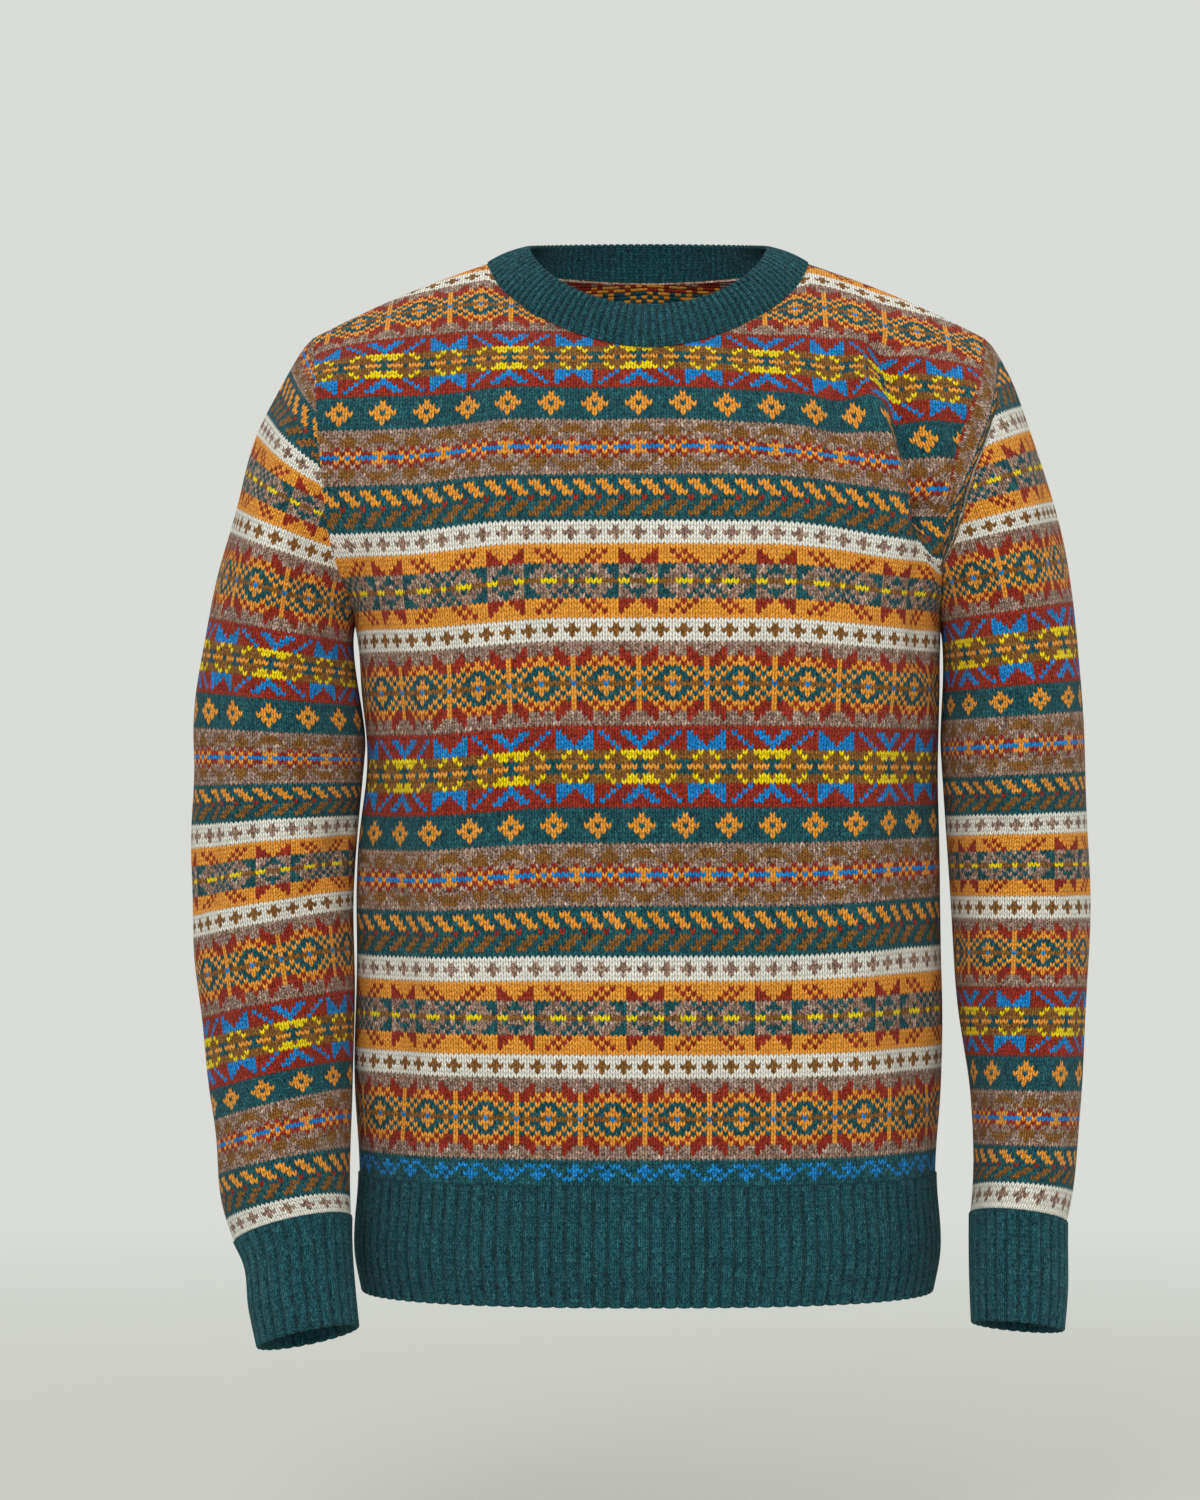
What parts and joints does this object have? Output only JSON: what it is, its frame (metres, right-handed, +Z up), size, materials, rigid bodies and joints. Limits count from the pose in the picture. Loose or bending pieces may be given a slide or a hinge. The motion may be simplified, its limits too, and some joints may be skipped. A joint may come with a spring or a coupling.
{
  "type": "fair isle jumper",
  "caption": "Long-sleeved crew neck jumper in banded fair isle stranded knit, with ribbed neckband, cuffs and hem, in its worn shape and hollow.",
  "frame": {"origin": "middle of the neck opening, level with the neck ends of the shoulder seams, where the wearer's neck and shoulders hold the jumper up", "axes": "+X to the wearer's left, which is the right as seen from the front; +Y from front to back; +Z up, along the height of the body"},
  "size_m": [0.5888, 0.2412, 0.7255],
  "materials": {
    "fair_isle_knit": "stranded wool knit in bands of teal, gold, rust, brown, taupe, blue, yellow and off-white, matt and slightly fuzzy",
    "teal_rib": "ribbed wool knit in one melange teal, matt and slightly fuzzy"
  },
  "bodies": {
    "root": {"body_front": "fair_isle_knit", "body_back": "fair_isle_knit", "sleeve_right": "fair_isle_knit", "sleeve_left": "fair_isle_knit", "hem_rib_front": "teal_rib", "hem_rib_back": "teal_rib", "cuff_right": "teal_rib", "cuff_left": "teal_rib", "neckband": "teal_rib"}
  },
  "joints": []
}
